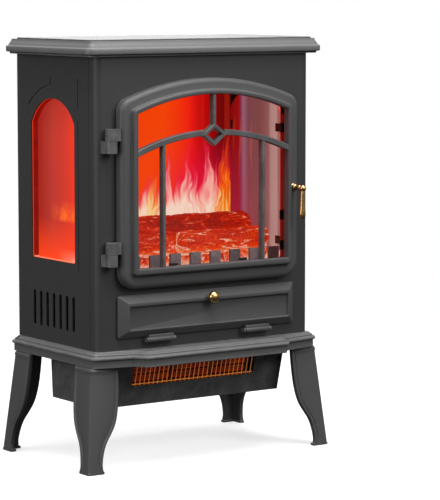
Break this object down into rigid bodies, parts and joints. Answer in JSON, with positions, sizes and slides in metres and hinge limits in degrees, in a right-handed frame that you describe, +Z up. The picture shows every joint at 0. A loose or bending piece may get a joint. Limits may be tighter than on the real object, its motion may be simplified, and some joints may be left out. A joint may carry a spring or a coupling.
{
  "type": "electric stove heater",
  "caption": "Free-standing electric fireplace stove with an arched glazed door, side windows, a drop-down control flap, curved legs and a fan heater below.",
  "frame": {"origin": "on the floor, at the middle of the whole stove's box", "axes": "+X to the right as a person facing the door sees it, +Y to the back, +Z up"},
  "size_m": [0.4156, 0.2693, 0.6],
  "materials": {
    "body_paint": "matt charcoal stove paint, fine texture",
    "casting_paint": "matt charcoal paint on cast iron, slightly coarse",
    "steel_zinc": "zinc plated sheet",
    "steel_black": "blackened steel",
    "brass": "polished, lightly brushed",
    "door_pane": "clear toughened",
    "side_pane": "tinted toughened, lit from inside",
    "gasket": "flat woven glass tape",
    "screen": "frosted acrylic, back lit",
    "log_resin": "moulded, lit from below",
    "ember_resin": "translucent moulded, lit from below",
    "circuit": "circuit board",
    "black_plastic": "moulded, fine texture",
    "rocker_red": "moulded",
    "element": "wound heating coil on ceramic",
    "grille_wire": "bright wire"
  },
  "bodies": {
    "stove": {"front_shell": "body_paint", "left_side_panel": "body_paint", "right_side_panel": "body_paint", "back_panel": "body_paint", "top_cap": "casting_paint", "top_plate": "casting_paint", "base_skirt": "casting_paint", "front_left_leg": "casting_paint", "front_right_leg": "casting_paint", "back_left_leg": "casting_paint", "back_right_leg": "casting_paint", "base_plate": "steel_zinc", "leg_bolts": "steel_black", "casing_screws": "steel_black", "cord_gland": "black_plastic", "left_window_glass": "side_pane", "right_window_glass": "side_pane", "window_clips": "steel_black", "window_jambs": "body_paint", "hinge_brackets": "casting_paint", "hinge_pins": "steel_black", "catch_magnets": "steel_zinc", "control_fascia": "steel_black", "switch_bodies": "black_plastic", "rotary_controls": "black_plastic", "control_board": "circuit", "firebox_floor": "steel_zinc", "firebox_roof": "steel_black", "flame_screen": "screen", "fire_grate": "steel_black", "back_log": "log_resin", "left_log": "log_resin", "right_log": "log_resin", "ember_bed": "ember_resin", "led_boards": "circuit", "rotor_motor": "steel_zinc", "end_bearings": "black_plastic", "heater_housing": "body_paint", "outlet_grille": "grille_wire", "heating_element": "element", "fan_motor": "steel_zinc", "fan_scroll": "steel_zinc"},
    "door": {"door_frame": "casting_paint", "door_muntins": "casting_paint", "door_gasket": "gasket", "door_glass": "door_pane", "door_glass_clips": "steel_black", "door_hinge_knuckles": "casting_paint", "handle_rose": "brass"},
    "handle": {"handle_lever": "brass", "handle_spindle": "steel_zinc"},
    "flap": {"control_flap": "casting_paint", "flap_knob": "brass"},
    "flame_rocker": {"flame_switch_rocker": "rocker_red"},
    "low_rocker": {"low_heat_rocker": "black_plastic"},
    "high_rocker": {"high_heat_rocker": "black_plastic"},
    "thermostat": {"thermostat_knob": "black_plastic"},
    "dimmer": {"dimmer_knob": "black_plastic"},
    "rotor": {"flame_rotor": "steel_zinc"},
    "fan": {"fan_impeller": "black_plastic"}
  },
  "joints": [
    {"name": "door_hinge", "type": "hinge", "parent": "stove", "child": "door", "pos_m": [-0.165, -0.10065, 0.4], "axis": [0, 0, -1], "range_deg": [0, 110]},
    {"name": "handle_turn", "type": "hinge", "parent": "door", "child": "handle", "pos_m": [0.1413, -0.11025, 0.384], "axis": [0, -1, 0], "range_deg": [0, 90]},
    {"name": "flap_hinge", "type": "hinge", "parent": "stove", "child": "flap", "pos_m": [0, -0.09865, 0.181], "axis": [1, 0, 0], "range_deg": [0, 85]},
    {"name": "high_heat_switch", "type": "hinge", "parent": "stove", "child": "high_rocker", "pos_m": [-0.04, -0.07525, 0.214], "axis": [-1, 0, 0], "range_deg": [0, 12]},
    {"name": "low_heat_switch", "type": "hinge", "parent": "stove", "child": "low_rocker", "pos_m": [-0.072, -0.07525, 0.214], "axis": [-1, 0, 0], "range_deg": [0, 12]},
    {"name": "flame_switch", "type": "hinge", "parent": "stove", "child": "flame_rocker", "pos_m": [-0.104, -0.07525, 0.214], "axis": [-1, 0, 0], "range_deg": [0, 12]},
    {"name": "thermostat_turn", "type": "hinge", "parent": "stove", "child": "thermostat", "pos_m": [0.022, -0.07625, 0.214], "axis": [0, -1, 0], "range_deg": [-270, 0]},
    {"name": "dimmer_turn", "type": "hinge", "parent": "stove", "child": "dimmer", "pos_m": [0.084, -0.07625, 0.214], "axis": [0, -1, 0], "range_deg": [-270, 0]},
    {"name": "flame_rotor_spin", "type": "hinge", "parent": "stove", "child": "rotor", "pos_m": [0, 0.09735, 0.292], "axis": [1, 0, 0], "continuous": true},
    {"name": "fan_spin", "type": "hinge", "parent": "stove", "child": "fan", "pos_m": [0, 0.02935, 0.122], "axis": [1, 0, 0], "continuous": true}
  ]
}
